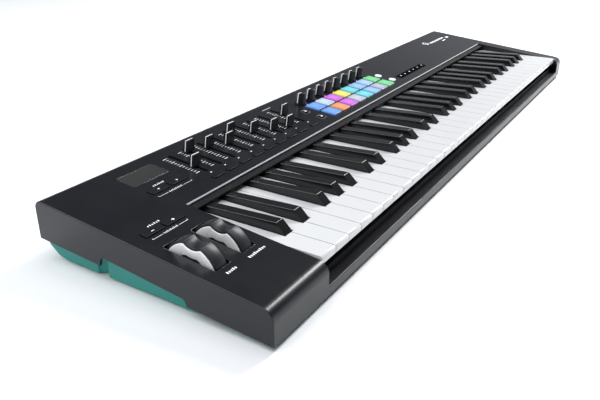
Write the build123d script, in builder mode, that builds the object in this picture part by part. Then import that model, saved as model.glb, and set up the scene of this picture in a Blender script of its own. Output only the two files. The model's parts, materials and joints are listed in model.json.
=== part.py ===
"""Keyboard synthesizer with sixty-one full-size keys, pads, faders, knobs and two wheels.

Frame: +X runs along the keys to the player's right, +Y away from the player, +Z up.
The origin is on the table under the middle of the case. Lengths are millimetres.
"""

import math
import os

from build123d import *

os.makedirs("parts", exist_ok=True)

# ---------------------------------------------------------------- driving dimensions
case_width = 956.0
case_depth = 256.0
wall = 2.5
front_height = 35.2  # top of the cheeks at the front, above the table
panel_angle = 5.64  # degrees, rise of the control panel towards the back
rim_front = 4.5  # lower edge of the black case at the front, above the table
rim_slope = 0.0676  # rise of that lower edge per millimetre towards the back
front_radius = 11.0
back_radius = 8.0
edge_radius = 1.0

key_pitch = 23.5
key_gap = 1.0
keys_left = -396.0  # left edge of the first white key
keys_front = -120.5
key_top = 38.3
key_thickness = 7.0
key_skin = 2.0
head_length = 44.5
key_end = 46.0
pivot_y = 40.0
pivot_z = 34.6
pivot_radius = 1.5
running_gap = 0.05
octave = 7 * key_pitch

black_width = 12.0
black_lean = 0.75  # each flank leans in by this much
black_front = -74.6
black_top_front = 47.9
black_nose = 9.3  # length of the sloping front
black_top_back = 44.0
black_shoulder = 15.0  # behind this line the key is low enough to pass under the board

opening_left = -397.0
opening_right = 451.0
panel_edge = 22.0  # front edge of the control panel
rail_back = -117.0  # the ledge ends just before the key frame
rail_top = 13.5
rail_round = 0.8

fader_count = 9
fader_pitch = 23.04
fader_first = -330.5
master_fader = -141.5
slot_centre = 76.8
slot_length = 51.2
slot_width = 2.6
fader_places = (67.0, 94.7, 86.4, 76.6, 92.5, 76.0, 63.8, 56.5, 82.0)
cap_width = 11.0
cap_depth = 4.8
cap_height = 12.5
cap_flare = 1.0
cap_lift = 1.5

knob_count = 8
knob_pitch = 23.8
knob_first = -92.0
knob_row = 87.7
knob_radius = 6.6
knob_top_radius = 5.7
knob_height = 14.8
knob_lift = 1.0

pad_columns = 8
pad_pitch = 23.7
pad_first = -86.3
pad_rows = (43.9, 67.6)
pad_size = 20.8
pad_proud = 1.6
transport_first = 131.0
transport_pitch = 16.6
button_gap = 0.5

wheel_row = -38.1
wheel_radius = 29.5
wheel_depth = 15.6  # axle below the panel surface
wheel_width = 14.5
wheel_slot = (19.0, 54.5)
pitch_x = -454.2
mod_x = -420.2
scoop_radius = 11.8
scoop_height = 36.8
wheel_half_angle = 87.0
hub_radius = 8.0
axle_radius = 3.0

board_depth = 8.5  # top of the control board below the panel surface
board_thickness = 1.6

belly_inset = 7.0
belly_bottom = 2.0
belly_front = -49.0
foot_radius = 7.0

# ---------------------------------------------------------------- shared geometry
half_width = case_width / 2
half_depth = case_depth / 2
slope = math.tan(math.radians(panel_angle))
sin_a = math.sin(math.radians(panel_angle))
cos_a = math.cos(math.radians(panel_angle))


def panel_z(y):
    """Height of the control panel's surface above the table."""
    return front_height + slope * (y + half_depth)


def rim_z(y):
    """Height of the black case's lower edge."""
    return rim_front + rim_slope * (y + half_depth)


def on_panel(x, y, lift=0.0):
    """Plane lying on the control panel at (x, y), raised along its normal by lift."""
    base = Plane(origin=(x, y, panel_z(y)), x_dir=(1, 0, 0), z_dir=(0, -sin_a, cos_a))
    return base.offset(lift)


def across_panel(x, y, depth):
    """Plane square to X, its own x along the panel's slope, depth under the panel."""
    origin = (x, y + depth * sin_a, panel_z(y) - depth * cos_a)
    return Plane(origin=origin, x_dir=(0, cos_a, sin_a), z_dir=(1, 0, 0))


def save(part, name):
    """Label a finished piece and write its STEP file."""
    part.label = name
    export_step(part, "parts/" + name + ".step")


fader_x = [fader_first + fader_pitch * i for i in range(fader_count - 1)] + [master_fader]
knob_x = [knob_first + knob_pitch * i for i in range(knob_count)]
pad_x = [pad_first + pad_pitch * i for i in range(pad_columns)]
launch_x = pad_first + pad_pitch * pad_columns
scene_x = pad_first - 1.1 * pad_pitch
transport_x = [transport_first + transport_pitch * i for i in range(6)]
track_x = (-392.5, -366.8)
octave_x = (-451.0, -426.0)

button_row = 37.0
track_row = 59.4
octave_row = 11.8
transport_row = 42.0
fader_button = (16.0, 4.6)
track_button = (21.5, 8.0)
octave_button = (22.0, 7.5)
transport_button = (14.6, 9.0)
launch_radius = 5.2
scene_radius = 3.0
display_centre = (-380.0, 90.9)
display_size = (47.0, 24.0)

usb_x = -330.0
jack_x = -295.0
port_z = 38.0
usb_size = (12.2, 11.2)
jack_radius = 3.25
jack_collar = 5.5

screw_places = [(-440.0, 95.0), (-118.0, 104.0), (112.0, 95.0), (290.0, 95.0), (440.0, 95.0)]
cheek_screws = [(-435.0, -98.0), (464.0, -98.0)]
bed_screws = [(x, -30.0) for x in (-300.0, -100.0, 100.0, 300.0)]
screw_radius = 1.5
screw_head = 3.0
boss_radius = 4.0
boss_joint = 24.0
cheek_joint = 16.0
bed_joint = 14.0
screw_seat = 8.5  # height of the shoulder under a screw's head
cheek_seat = 12.0
screw_bite = 8.0

# ---------------------------------------------------------------- top case
profile = [
    (-half_depth, rim_z(-half_depth)),
    (half_depth, rim_z(half_depth)),
    (half_depth, panel_z(half_depth)),
    (-half_depth, front_height),
]
inner_half = half_depth - wall
skin = wall / cos_a  # the panel's thickness measured upright
inner_profile = [
    (-inner_half, -5.0),
    (inner_half, -5.0),
    (inner_half, panel_z(inner_half) - skin),
    (-inner_half, panel_z(-inner_half) - skin),
]
cutout_front = -46.0
cutout_back = 52.0
cutout_height = 7.5
cutout_round = 5.0

with BuildPart() as top_case:
    with BuildSketch(Plane.YZ.offset(-half_width)) as case_side:
        Polygon(*profile, align=None)
        fillet(case_side.vertices().group_by(Axis.X)[-1].sort_by(Axis.Y)[-1:], back_radius)
        fillet(case_side.vertices().group_by(Axis.X)[0].sort_by(Axis.Y)[-1:], front_radius)
    extrude(amount=case_width)
    for end in (top_case.faces().sort_by(Axis.X)[0], top_case.faces().sort_by(Axis.X)[-1]):
        upper = [edge for edge in end.edges() if edge.center().Z > 15.0]
        fillet(upper, edge_radius)
    with BuildSketch(Plane.YZ.offset(-half_width + wall)) as case_inside:
        Polygon(*inner_profile, align=None)
        fillet(case_inside.vertices().group_by(Axis.X)[-1].sort_by(Axis.Y)[-1:], back_radius - wall)
        fillet(case_inside.vertices().group_by(Axis.X)[0].sort_by(Axis.Y)[-1:], front_radius - wall)
    extrude(amount=case_width - 2 * wall, mode=Mode.SUBTRACT)
    # inner walls of the two cheeks, beside the keys
    for x in (opening_left - wall / 2, opening_right + wall / 2):
        with BuildSketch(Plane.YZ.offset(x - wall / 2)):
            Polygon(
                (-half_depth + wall, 26.0),
                (panel_edge, 26.0),
                (panel_edge, panel_z(panel_edge) - wall / 2),
                (-half_depth + front_radius, front_height),
                (-half_depth + wall, front_height - front_radius + wall),
                align=None,
            )
        extrude(amount=wall)
    # bosses that the case screws bite into
    for x, y in screw_places:
        with BuildSketch(Plane.XY.offset(boss_joint)):
            with Locations((x, y)):
                Circle(boss_radius)
        extrude(amount=panel_z(y) - wall / 2 - boss_joint)
    for x, y in cheek_screws:
        with BuildSketch(Plane.XY.offset(cheek_joint)):
            with Locations((x, y)):
                Circle(boss_radius)
        extrude(amount=panel_z(y) - wall / 2 - cheek_joint)
    for x, y, joint in [(*p, boss_joint) for p in screw_places] + [(*p, cheek_joint) for p in cheek_screws]:
        with BuildSketch(Plane.XY.offset(joint)):
            with Locations((x, y)):
                Circle(screw_radius)
        extrude(amount=10.0, mode=Mode.SUBTRACT)
    # keywell, open to the front above the rail
    opening_mid = (opening_left + opening_right) / 2
    opening_width = opening_right - opening_left
    keywell_depth = panel_edge + half_depth + 1.0
    with BuildSketch(Plane.XY.offset(rail_top)):
        with Locations((opening_mid, panel_edge - keywell_depth / 2)):
            Rectangle(opening_width, keywell_depth)
    extrude(amount=60.0, mode=Mode.SUBTRACT)
    # ledge of the front rail
    with BuildSketch(Plane.XY.offset(rail_top - wall)):
        with Locations((opening_mid, (rail_back - half_depth + wall) / 2)):
            Rectangle(opening_width, rail_back + half_depth - wall)
    extrude(amount=wall)
    rail_front = top_case.edges().filter_by(
        lambda e: abs(e.center().Y + half_depth) < 0.1 and abs(e.center().Z - rail_top) < 0.1
    )
    fillet(rail_front, rail_round)
    # long finger cut-outs in the lower edge of both sides
    for x in (-half_width - 1.0, half_width - wall - 1.0):
        with BuildSketch(Plane.YZ.offset(x)) as cutout:
            Polygon(
                (cutout_front, rim_z(cutout_front) - 3.0),
                (cutout_back, rim_z(cutout_back) - 3.0),
                (cutout_back - 3.0, rim_z(cutout_back) + cutout_height + 1.8),
                (cutout_front + 2.5, rim_z(cutout_front) + cutout_height - 1.5),
                align=None,
            )
            fillet(cutout.vertices().sort_by(Axis.Y)[-2:], cutout_round)
        extrude(amount=wall + 2.0, mode=Mode.SUBTRACT)
    # openings in the control panel
    for x in fader_x:
        with BuildSketch(on_panel(x, slot_centre, 1.0)):
            SlotOverall(slot_length, slot_width, rotation=90)
        extrude(amount=-wall - 3.0, mode=Mode.SUBTRACT)
        with BuildSketch(on_panel(x, button_row, 1.0)):
            RectangleRounded(fader_button[0] + 2 * button_gap, fader_button[1] + 2 * button_gap, 1.4)
        extrude(amount=-wall - 3.0, mode=Mode.SUBTRACT)
    for x in knob_x:
        with BuildSketch(on_panel(x, knob_row, 1.0)):
            Circle(4.2)
        extrude(amount=-wall - 3.0, mode=Mode.SUBTRACT)
    for y in pad_rows:
        for x in pad_x:
            with BuildSketch(on_panel(x, y, 1.0)):
                RectangleRounded(pad_size + 2 * button_gap, pad_size + 2 * button_gap, 1.5)
            extrude(amount=-wall - 3.0, mode=Mode.SUBTRACT)
        with BuildSketch(on_panel(launch_x, y, 1.0)):
            Circle(launch_radius + button_gap)
        extrude(amount=-wall - 3.0, mode=Mode.SUBTRACT)
        with BuildSketch(on_panel(scene_x, y, 1.0)):
            Circle(scene_radius + button_gap)
        extrude(amount=-wall - 3.0, mode=Mode.SUBTRACT)
    for places, row, size in (
        (transport_x, transport_row, transport_button),
        (track_x, track_row, track_button),
        (octave_x, octave_row, octave_button),
    ):
        for x in places:
            with BuildSketch(on_panel(x, row, 1.0)):
                RectangleRounded(size[0] + 2 * button_gap, size[1] + 2 * button_gap, 1.6)
            extrude(amount=-wall - 3.0, mode=Mode.SUBTRACT)
    for x in (pitch_x, mod_x):
        with BuildSketch(on_panel(x, wheel_row, 1.0)):
            RectangleRounded(wheel_slot[0], wheel_slot[1], 2.0)
        extrude(amount=-wall - 3.0, mode=Mode.SUBTRACT)
    with BuildSketch(on_panel(*display_centre, 1.0)):
        RectangleRounded(display_size[0], display_size[1], 1.5)
    extrude(amount=-wall - 3.0, mode=Mode.SUBTRACT)
    # ports in the back wall
    with BuildSketch(Plane.XZ.offset(-half_depth - 1.0)):
        with Locations((usb_x, port_z)):
            Rectangle(usb_size[0] + 0.6, usb_size[1] + 0.6)
        with Locations((jack_x, port_z)):
            Circle(jack_collar + 0.3)
    extrude(amount=wall + 2.0, mode=Mode.SUBTRACT)
save(top_case.part, "top_case")

# ---------------------------------------------------------------- bottom case
side_inset = wall + 0.4
plate_lift = 0.8
belly_half = half_width - belly_inset
tray_top = 12.0
port_floor = 30.2  # top of the tub's back wall, below the ports
groove_radius = 7.0
groove_offset = 2.0
groove_y = 56.0
plate_front = -half_depth + wall + 0.4
plate_back = half_depth - wall - 0.4


def belly_outline(inset):
    """Side outline of the hollow tub under the case, moved inwards by inset."""
    low = belly_bottom + inset
    return [
        (belly_front - 10.0 + inset, rim_z(belly_front - 10.0) + plate_lift + wall),
        (belly_front - 10.0 + inset, rim_z(belly_front - 10.0) + plate_lift),
        (belly_front + 3.0 + inset * 0.4, low),
        (101.0, low),
        (114.0 - inset * 0.4, low + 2.6),
        (plate_back - inset * 0.8, low + 11.0),
        (plate_back - inset, rim_z(plate_back) + tray_top),
        (belly_front + inset, rim_z(belly_front) + tray_top),
        (belly_front + inset, rim_z(belly_front) + plate_lift + wall),
    ]


with BuildPart() as bottom_case:
    # flat plate inside the black rim, from the front edge to the tub
    with BuildSketch(Plane.YZ.offset(-half_width + side_inset)):
        Polygon(
            (plate_front, rim_z(plate_front) + plate_lift),
            (belly_front, rim_z(belly_front) + plate_lift),
            (belly_front, rim_z(belly_front) + plate_lift + wall),
            (plate_front, rim_z(plate_front) + plate_lift + wall),
            align=None,
        )
    extrude(amount=case_width - 2 * side_inset)
    with BuildSketch(Plane.YZ.offset(-belly_half)) as tub_outside:
        Polygon(*belly_outline(0.0), align=None)
    extrude(amount=2 * belly_half)
    inside = belly_outline(wall)
    inside = inside[2:6] + [(plate_back - wall, 60.0), (belly_front + wall, 60.0)]
    with BuildSketch(Plane.YZ.offset(-belly_half + wall)):
        Polygon(*inside, align=None)
    extrude(amount=2 * (belly_half - wall), mode=Mode.SUBTRACT)
    # the tub's front and back walls end lower than its sides
    for y, top in ((belly_front, rim_z(belly_front) + plate_lift + wall), (plate_back, port_floor)):
        with BuildSketch(Plane.XY.offset(top)):
            with Locations((0, y)):
                Rectangle(2 * (belly_half - wall), 4 * wall)
        extrude(amount=30.0, mode=Mode.SUBTRACT)
    # half-round grooves in the tub's sides, each with its own curved wall
    for side in (-1.0, 1.0):
        x = side * (belly_half + groove_offset)
        with BuildSketch(Plane.XY.offset(belly_bottom)):
            with Locations((x, groove_y)):
                Circle(groove_radius + wall)
        extrude(amount=rim_z(groove_y) + 9.0 - belly_bottom)
        with BuildSketch(Plane.XY.offset(belly_bottom - 1.0)):
            with Locations((x, groove_y)):
                Circle(groove_radius)
            with Locations((side * (belly_half + 10.0), groove_y)):
                Rectangle(20.0, 30.0)
        extrude(amount=40.0, mode=Mode.SUBTRACT)
    # flange beside the tub behind the finger cut-outs
    for x in (-half_width + side_inset, belly_half - 0.5):
        with BuildSketch(Plane.YZ.offset(x)):
            Polygon(
                (groove_y + 9.0, rim_z(groove_y + 9.0) + plate_lift),
                (plate_back, rim_z(plate_back) + plate_lift),
                (plate_back, rim_z(plate_back) + plate_lift + wall),
                (groove_y + 9.0, rim_z(groove_y + 9.0) + plate_lift + wall),
                align=None,
            )
        extrude(amount=belly_inset - side_inset + 0.5)
    # screw bosses and their counterbored holes
    for x, y in screw_places:
        with BuildSketch(Plane.XY.offset(belly_bottom)):
            with Locations((x, y)):
                Circle(boss_radius + 1.0)
        extrude(amount=boss_joint - belly_bottom)
    for x, y in bed_screws:
        with BuildSketch(Plane.XY.offset(belly_bottom)):
            with Locations((x, y)):
                Circle(boss_radius + 1.0)
        extrude(amount=bed_joint - belly_bottom)
    for x, y in cheek_screws:
        with BuildSketch(Plane.XY.offset(rim_z(y) + plate_lift + 0.5)):
            with Locations((x, y)):
                Circle(boss_radius + 1.0)
        extrude(amount=cheek_joint - rim_z(y) - plate_lift - 0.5)
    for x, y in screw_places + bed_screws + cheek_screws:
        with BuildSketch(Plane.XY):
            with Locations((x, y)):
                Circle(screw_radius + 0.2)
        extrude(amount=30.0, mode=Mode.SUBTRACT)
        with BuildSketch(Plane.XY):
            with Locations((x, y)):
                Circle(screw_head + 0.3)
        extrude(amount=cheek_seat if (x, y) in cheek_screws else screw_seat, mode=Mode.SUBTRACT)
save(bottom_case.part, "bottom_case")

# ---------------------------------------------------------------- screws and feet
with BuildPart() as case_screws:
    for x, y in screw_places + bed_screws + cheek_screws:
        seat = cheek_seat if (x, y) in cheek_screws else screw_seat
        joint = boss_joint
        if (x, y) in cheek_screws:
            joint = cheek_joint
        if (x, y) in bed_screws:
            joint = bed_joint
        with BuildSketch(Plane.XY.offset(seat)):
            with Locations((x, y)):
                Circle(screw_radius)
        extrude(amount=joint + screw_bite - seat)
        with BuildSketch(Plane.XY.offset(seat - 2.0)):
            with Locations((x, y)):
                Circle(screw_head)
                Rectangle(3.0, 0.8, mode=Mode.SUBTRACT)
                Rectangle(0.8, 3.0, mode=Mode.SUBTRACT)
        extrude(amount=1.2)
        with BuildSketch(Plane.XY.offset(seat - 0.8)):
            with Locations((x, y)):
                Circle(screw_head)
        extrude(amount=0.8)
save(case_screws.part, "case_screws")

foot_places = [(x, y) for x in (-430.0, 0.0, 430.0) for y in (-42.0, 74.0)]
with BuildPart() as rubber_feet:
    with BuildSketch(Plane.XY):
        with Locations(*foot_places):
            Circle(foot_radius)
    extrude(amount=belly_bottom)
    chamfer(rubber_feet.faces().group_by(Axis.Z)[0].edges(), 0.6)
save(rubber_feet.part, "rubber_feet")

# ---------------------------------------------------------------- trim round the keys
trim_size = 1.2
trim_back = panel_edge - 0.05
trim_top = panel_z(panel_edge) - 0.2
with BuildPart() as panel_edge_trim:
    with BuildSketch(Plane.YZ.offset(opening_left + 0.1)):
        Polygon(
            (trim_back, trim_top),
            (trim_back, trim_top - trim_size),
            (trim_back - trim_size, trim_top - trim_size),
            (trim_back - trim_size, trim_top - trim_size * 0.6),
            (trim_back - trim_size * 0.6, trim_top),
            align=None,
        )
    extrude(amount=opening_width - 0.2)
save(panel_edge_trim.part, "panel_edge_trim")

with BuildPart() as key_shield:
    with BuildSketch(Plane.YZ.offset(opening_left + 0.1)):
        Polygon(
            (20.3, 47.0),
            (25.5, 47.6),
            (25.5, 46.2),
            (20.6, 45.7),
            (13.9, 45.0),
            (12.9, 45.0),
            (12.9, 46.2),
            align=None,
        )
    extrude(amount=opening_width - 0.2)
save(key_shield.part, "key_shield")

# ---------------------------------------------------------------- keys
black_centres = {"c_sharp": 20.6, "d_sharp": 49.9, "f_sharp": 89.8, "g_sharp": 117.5, "a_sharp": 145.0}
white_names = ("c", "d", "e", "f", "g", "a", "b")


def tail_limits(index):
    """Left and right edge of a white key's tail, between its black neighbours."""
    left = index * key_pitch + key_gap / 2
    right = (index + 1) * key_pitch - key_gap / 2
    for centre in black_centres.values():
        low = centre - black_width / 2 - key_gap
        high = centre + black_width / 2 + key_gap
        if low < left < high:
            left = high
        if low < right < high:
            right = low
    return left, right


def white_key(index, tail_left, tail_right):
    """One white key of the lowest octave, hollow underneath."""
    head_left = keys_left + index * key_pitch + key_gap / 2
    head_right = head_left + key_pitch - key_gap
    tail_left += keys_left
    tail_right += keys_left
    head_back = keys_front + head_length
    tail_mid = (tail_left + tail_right) / 2
    tail_width = tail_right - tail_left
    head_mid = (head_left + head_right) / 2
    head_width = head_right - head_left
    low = key_top - key_thickness
    with BuildPart() as key:
        with BuildSketch(Plane.XY.offset(low)):
            with Locations((head_mid, keys_front + head_length / 2)):
                Rectangle(head_width, head_length)
            with Locations((tail_mid, (head_back + key_end) / 2 - 0.5)):
                Rectangle(tail_width, key_end - head_back + 1.0)
        extrude(amount=key_thickness)
        front_edges = key.faces().sort_by(Axis.Y)[0].edges().sort_by(Axis.Z)[-1:]
        fillet(front_edges, 2.6)
        with BuildSketch(Plane.XY.offset(low)):
            with Locations((head_mid, keys_front + head_length / 2)):
                Rectangle(head_width - 2 * key_skin, head_length - 2 * key_skin)
            with Locations((tail_mid, (head_back + 30.0) / 2)):
                Rectangle(tail_width - 2 * key_skin, 30.0 - head_back - key_skin)
        extrude(amount=key_thickness - key_skin - 1.0, mode=Mode.SUBTRACT)
        with BuildSketch(Plane.YZ.offset(tail_left - 1.0)):
            with Locations((pivot_y, pivot_z)):
                Circle(pivot_radius + running_gap)
        extrude(amount=tail_width + 2.0, mode=Mode.SUBTRACT)
    return key.part


def black_key(centre):
    """One black key of the lowest octave, with leaning flanks and a sloping nose."""
    x = keys_left + centre
    low = key_top - key_thickness
    half = black_width / 2
    with BuildPart() as key:
        with BuildSketch(Plane.YZ.offset(x - half)):
            Polygon(
                (black_front, low),
                (key_end, low),
                (key_end, key_top - 0.5),
                (black_shoulder + 2.0, key_top - 0.5),
                (black_shoulder, black_top_back),
                (black_front + black_nose, black_top_front),
                (black_front, key_top),
                align=None,
            )
        extrude(amount=black_width)
        for side in (-1.0, 1.0):
            with BuildSketch(Plane.XZ.offset(-key_end - 1.0)):
                Polygon(
                    (x + side * half, key_top - 1.0),
                    (x + side * (half - black_lean), black_top_front + 1.0),
                    (x + side * (half + 3.0), black_top_front + 1.0),
                    (x + side * (half + 3.0), key_top - 1.0),
                    align=None,
                )
            extrude(amount=key_end - black_front + 2.0, mode=Mode.SUBTRACT)
        top = [f for f in key.faces() if f.center().Z > black_top_back and f.normal_at().Z > 0.9]
        fillet(top[0].edges().sort_by(Axis.Y)[:-1], 1.0)
        with BuildSketch(Plane.YZ.offset(x - half - 1.0)):
            with Locations((pivot_y, pivot_z)):
                Circle(pivot_radius + running_gap)
        extrude(amount=black_width + 2.0, mode=Mode.SUBTRACT)
    return key.part


octaves = [octave * i for i in range(5)]
for index, name in enumerate(white_names):
    single = white_key(index, *tail_limits(index))
    with BuildPart() as key_set:
        with Locations(*[(shift, 0, 0) for shift in octaves]):
            add(single)
        if name == "c":
            top_c = white_key(0, key_gap / 2, key_pitch - key_gap / 2)
            with Locations((5 * octave, 0, 0)):
                add(top_c)
    save(key_set.part, "keys_" + name)

for name, centre in black_centres.items():
    single = black_key(centre)
    with BuildPart() as key_set:
        with Locations(*[(shift, 0, 0) for shift in octaves]):
            add(single)
    save(key_set.part, "keys_" + name)

# ---------------------------------------------------------------- under the keys
bed_left = opening_left + 1.0
bed_width = opening_width - 2.0
bed_bottom = 14.0
bed_thickness = 2.0
felt_seat = 18.8
contact_seat = 19.5
arm = 2.4  # thickness of the two end arms

with BuildPart() as key_frame:
    with BuildSketch(Plane.YZ.offset(bed_left)):
        Polygon(
            (-116.5, 9.6),
            (-114.0, 9.6),
            (-114.0, bed_bottom),
            (52.0, bed_bottom),
            (52.0, 31.0),
            (49.5, 31.0),
            (49.5, bed_bottom + bed_thickness),
            (24.0, bed_bottom + bed_thickness),
            (24.0, contact_seat),
            (-12.0, contact_seat),
            (-12.0, bed_bottom + bed_thickness),
            (-92.0, bed_bottom + bed_thickness),
            (-92.0, felt_seat),
            (-108.0, felt_seat),
            (-108.0, bed_bottom + bed_thickness),
            (-114.0, bed_bottom + bed_thickness),
            (-114.0, 20.5),
            (-116.5, 20.5),
            align=None,
        )
    extrude(amount=bed_width)
    # end arms that carry the pivot rod
    for x in (bed_left - arm, bed_left + bed_width - 0.1):
        with BuildSketch(Plane.YZ.offset(x)):
            Polygon((28.0, 14.0), (52.0, 14.0), (52.0, 38.0), (36.0, 38.0), (28.0, 24.0), align=None)
            with Locations((pivot_y, pivot_z)):
                Circle(pivot_radius + running_gap, mode=Mode.SUBTRACT)
        extrude(amount=arm + 0.1)
    for x, y in bed_screws:
        with BuildSketch(Plane.XY.offset(bed_bottom)):
            with Locations((x, y)):
                Circle(boss_radius)
        extrude(amount=9.0)
        with BuildSketch(Plane.XY.offset(bed_bottom)):
            with Locations((x, y)):
                Circle(screw_radius)
        extrude(amount=8.0, mode=Mode.SUBTRACT)
save(key_frame.part, "key_frame")

with BuildPart() as key_pivot_rod:
    with BuildSketch(Plane.YZ.offset(bed_left - arm)):
        with Locations((pivot_y, pivot_z)):
            Circle(pivot_radius)
    extrude(amount=bed_width + 2 * arm)
save(key_pivot_rod.part, "key_pivot_rod")

with BuildPart() as key_felt:
    with BuildSketch(Plane.XY.offset(felt_seat)):
        with Locations((opening_mid, -100.0)):
            Rectangle(bed_width - 4.0, 14.0)
    extrude(amount=3.0)
save(key_felt.part, "key_felt")

with BuildPart() as key_contact_board:
    with BuildSketch(Plane.XY.offset(contact_seat)):
        with Locations((opening_mid, 6.0)):
            Rectangle(bed_width - 6.0, 34.0)
    extrude(amount=board_thickness)
save(key_contact_board.part, "key_contact_board")

with BuildPart() as key_contact_rubber:
    with BuildSketch(Plane.XY.offset(contact_seat + board_thickness)):
        with Locations((opening_mid, 6.0)):
            Rectangle(bed_width - 10.0, 22.0)
    extrude(amount=1.2)
    dome_base = contact_seat + board_thickness + 1.2
    with BuildSketch(Plane.XY.offset(dome_base)):
        with GridLocations(octave / 12, 10.0, 61, 2):
            with Locations((opening_mid, 6.0)):
                Circle(3.2)
    extrude(amount=5.5, taper=12)
save(key_contact_rubber.part, "key_contact_rubber")

# ---------------------------------------------------------------- boards
control_left = -410.0
control_right = 232.0
control_front = 33.0
control_back = 108.0
with BuildPart() as control_board:
    middle = ((control_left + control_right) / 2, (control_front + control_back) / 2)
    with BuildSketch(on_panel(*middle, -board_depth)):
        Rectangle(control_right - control_left, control_back - control_front)
    extrude(amount=-board_thickness)
    for x, y in screw_places:
        with BuildSketch(Plane.XY.offset(30.0)):
            with Locations((x, y)):
                Circle(boss_radius + 1.0)
        extrude(amount=40.0, mode=Mode.SUBTRACT)
save(control_board.part, "control_board")

main_board_top = 30.0
with BuildPart() as main_board:
    with BuildSketch(Plane.XY.offset(main_board_top - board_thickness)):
        with Locations((-290.0, 90.0)):
            Rectangle(130.0, 60.0)
    extrude(amount=board_thickness)
    # processor and other large packages on the board
    for x, y, width, depth, height in ((-290.0, 84.0, 14.0, 14.0, 1.6), (-260.0, 76.0, 9.0, 6.0, 1.5)):
        with BuildSketch(Plane.XY.offset(main_board_top)):
            with Locations((x, y)):
                Rectangle(width, depth)
        extrude(amount=height)
    # standoff feet under the corners
    for x in (-350.0, -230.0):
        for y in (66.0, 97.0):
            with BuildSketch(Plane.XY.offset(belly_bottom + wall)):
                with Locations((x, y)):
                    Circle(3.0)
            extrude(until=Until.NEXT)
save(main_board.part, "main_board")

# ---------------------------------------------------------------- ports
with BuildPart() as usb_socket:
    with BuildSketch(Plane.XZ.offset(-half_depth)):
        with Locations((usb_x, port_z)):
            Rectangle(usb_size[0], usb_size[1])
    extrude(amount=16.0)
    with BuildSketch(Plane.XZ.offset(-half_depth)):
        with Locations((usb_x, port_z)):
            Rectangle(8.6, 7.9)
            Rectangle(5.6, 3.2, mode=Mode.SUBTRACT)
    extrude(amount=9.5, mode=Mode.SUBTRACT)
    with BuildSketch(Plane.XY.offset(main_board_top)):
        with Locations((usb_x, half_depth - 11.5)):
            Rectangle(usb_size[0], 9.0)
    extrude(amount=port_z - usb_size[1] / 2 - main_board_top + 0.5)
save(usb_socket.part, "usb_socket")

with BuildPart() as sustain_jack:
    with BuildSketch(Plane.XZ.offset(-half_depth)):
        with Locations((jack_x, port_z)):
            Circle(jack_collar)
    extrude(amount=5.0)
    with BuildSketch(Plane.XZ.offset(-half_depth + 5.0)):
        with Locations((jack_x, port_z)):
            Rectangle(15.0, 14.0)
    extrude(amount=24.0)
    with BuildSketch(Plane.XZ.offset(-half_depth)):
        with Locations((jack_x, port_z)):
            Circle(jack_radius)
    extrude(amount=27.0, mode=Mode.SUBTRACT)
    with BuildSketch(Plane.XY.offset(main_board_top)):
        with Locations((jack_x, half_depth - 17.0)):
            Rectangle(15.0, 18.0)
    extrude(amount=port_z - 7.0 - main_board_top + 0.5)
save(sustain_jack.part, "sustain_jack")

# ---------------------------------------------------------------- display
with BuildPart() as display_window:
    with BuildSketch(on_panel(*display_centre, -0.2)):
        RectangleRounded(display_size[0] - 0.2, display_size[1] - 0.2, 1.4)
    extrude(amount=-wall + 0.6)
save(display_window.part, "display_window")

with BuildPart() as display_module:
    with BuildSketch(on_panel(*display_centre, -wall - 0.3)):
        Rectangle(display_size[0] - 1.0, display_size[1] - 1.0)
    extrude(amount=-(board_depth - wall - 0.3))
save(display_module.part, "display_module")

# ---------------------------------------------------------------- faders
with BuildPart() as fader_bodies:
    for x in fader_x:
        with BuildSketch(on_panel(x, slot_centre, -wall)):
            Rectangle(9.0, slot_length + 7.0)
        extrude(amount=-(board_depth - wall))
        with BuildSketch(on_panel(x, slot_centre, -wall)):
            SlotOverall(slot_length, slot_width + 0.4, rotation=90)
        extrude(amount=-(board_depth - wall - 1.2), mode=Mode.SUBTRACT)
save(fader_bodies.part, "fader_bodies")

for number, (x, y) in enumerate(zip(fader_x, fader_places), start=1):
    with BuildPart() as fader_cap:
        with BuildSketch(on_panel(x, y, cap_lift)):
            Rectangle(cap_width + cap_flare, cap_depth + cap_flare)
        with BuildSketch(on_panel(x, y, cap_lift + cap_height)):
            Rectangle(cap_width, cap_depth)
        loft()
        fillet(fader_cap.edges().group_by(Axis.Z)[-1], 0.5)
        with BuildSketch(on_panel(x, y, cap_lift + 1.0)):
            Rectangle(1.4, 3.0)
        extrude(amount=-(cap_lift + 1.0 + board_depth - 2.4))
    save(fader_cap.part, "fader_cap_" + str(number))

# ---------------------------------------------------------------- rotary knobs
shaft_top = 11.0
with BuildPart() as knob_pots:
    for x in knob_x:
        with BuildSketch(on_panel(x, knob_row, -wall - 0.2)):
            Rectangle(10.0, 11.5)
        extrude(amount=-(board_depth - wall - 0.2))
        with BuildSketch(on_panel(x, knob_row, -wall - 0.2)):
            Circle(3.6)
        extrude(amount=wall)
        with BuildSketch(on_panel(x, knob_row, -wall)):
            Circle(axle_radius)
        extrude(amount=wall + shaft_top)
save(knob_pots.part, "knob_pots")

for number, x in enumerate(knob_x, start=1):
    with BuildPart() as knob:
        with BuildSketch(on_panel(x, knob_row, knob_lift)):
            Circle(knob_radius)
        with BuildSketch(on_panel(x, knob_row, knob_lift + knob_height)):
            Circle(knob_top_radius)
        loft()
        fillet(knob.edges().sort_by(Axis.Z)[-1:], 0.8)
        with BuildSketch(on_panel(x, knob_row, knob_lift)):
            Circle(axle_radius + running_gap)
        extrude(amount=shaft_top - knob_lift + 0.2, mode=Mode.SUBTRACT)
    save(knob.part, "knob_" + str(number))

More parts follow.
